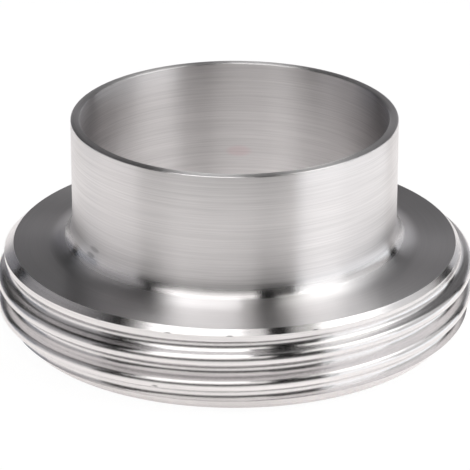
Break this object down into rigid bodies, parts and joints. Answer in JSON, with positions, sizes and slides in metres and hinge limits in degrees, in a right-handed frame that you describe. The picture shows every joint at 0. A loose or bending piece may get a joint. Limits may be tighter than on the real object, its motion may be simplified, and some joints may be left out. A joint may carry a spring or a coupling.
{
  "type": "threaded weld ferrule",
  "caption": "Turned stainless ferrule: a thin tube end to be welded to a pipe, on a wide collar with a coarse round thread for a union nut.",
  "frame": {"origin": "centre of the sealing end, the underside that the part stands on", "axes": "+Z along the bore towards the weld end; +X and +Y across it, with the thread's phase fixed by the groove that passes the +X side"},
  "size_m": [0.078, 0.078, 0.035],
  "materials": {
    "turned_stainless": "fine turned, polished on the thread"
  },
  "bodies": {
    "root": {"threaded_ferrule": "turned_stainless"}
  },
  "joints": []
}
